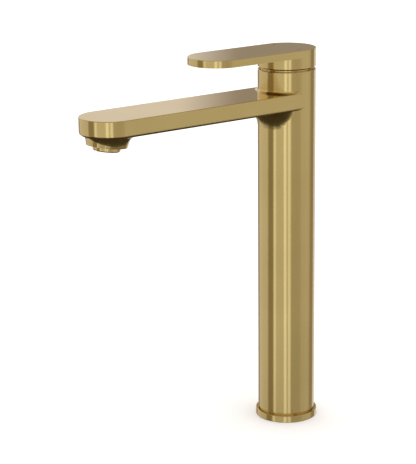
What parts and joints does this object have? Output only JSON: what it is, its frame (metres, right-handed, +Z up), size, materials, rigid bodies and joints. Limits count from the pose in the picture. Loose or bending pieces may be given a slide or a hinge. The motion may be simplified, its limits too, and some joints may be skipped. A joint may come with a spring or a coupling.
{
  "type": "basin mixer faucet",
  "caption": "Tall deck-mounted basin mixer: round column, long flat spout with a round tip, angled aerator under it, and a flat top lever that lifts for flow and turns for temperature.",
  "frame": {"origin": "centre of the column's foot, on the deck, at the mouth of the fixing stud's hole", "axes": "+Z up along the column, -Y along the spout and the closed lever, +X to the cold side (the right of a user who faces the spout)"},
  "size_m": [0.0476, 0.206, 0.2925],
  "materials": {
    "brushed_brass": "fine circumferential and lengthwise brushing, satin lacquer",
    "raw_brass": "as machined",
    "black_rubber": "moulded, matte",
    "white_ceramic": "lapped ceramic",
    "cartridge_plastic": "moulded engineering plastic",
    "limit_plastic": "moulded plastic",
    "aerator_plastic": "moulded plastic, lightly translucent",
    "steel": "stainless, turned"
  },
  "bodies": {
    "body": {"body_casting": "brushed_brass", "base_flange": "brushed_brass", "base_gasket": "black_rubber", "foot_block": "raw_brass", "hot_riser_tube": "raw_brass", "cold_riser_tube": "raw_brass", "riser_o_rings": "black_rubber", "valve_cup": "raw_brass", "cup_o_rings": "black_rubber", "cartridge_nut": "raw_brass", "trim_collar": "brushed_brass", "cartridge_base": "cartridge_plastic", "port_seals": "black_rubber", "disc_seals": "black_rubber", "fixed_ceramic_disc": "white_ceramic", "cartridge_housing": "cartridge_plastic", "hot_limit_ring": "limit_plastic", "aerator_shell": "brushed_brass", "aerator_gasket": "black_rubber", "aerator_insert": "aerator_plastic", "aerator_mesh": "steel", "flow_regulator": "aerator_plastic"},
    "carrier": {"stem_carrier": "cartridge_plastic", "stem_pivot_pin": "steel"},
    "handle": {"stem": "raw_brass", "lever_handle": "brushed_brass", "handle_adaptor": "cartridge_plastic", "handle_set_screw": "steel", "handle_screw_plug": "brushed_brass"},
    "valve_disc": {"moving_ceramic_disc": "white_ceramic", "disc_driver": "cartridge_plastic"}
  },
  "joints": [
    {"name": "handle_turn", "type": "hinge", "parent": "body", "child": "carrier", "pos_m": [0, 0, 0.2641], "axis": [0, 0, 1], "range_deg": [-50, 50]},
    {"name": "handle_lift", "type": "hinge", "parent": "carrier", "child": "handle", "pos_m": [0, 0, 0.2641], "axis": [-1, 0, 0], "range_deg": [0, 22]},
    {"name": "disc_slide", "type": "slide", "parent": "carrier", "child": "valve_disc", "axis": [0, -1, 0], "range_m": [0, 0.003]}
  ],
  "couplings": [
    {"joint": "disc_slide", "follows": "handle_lift", "m_per_rad": 0.0075}
  ]
}
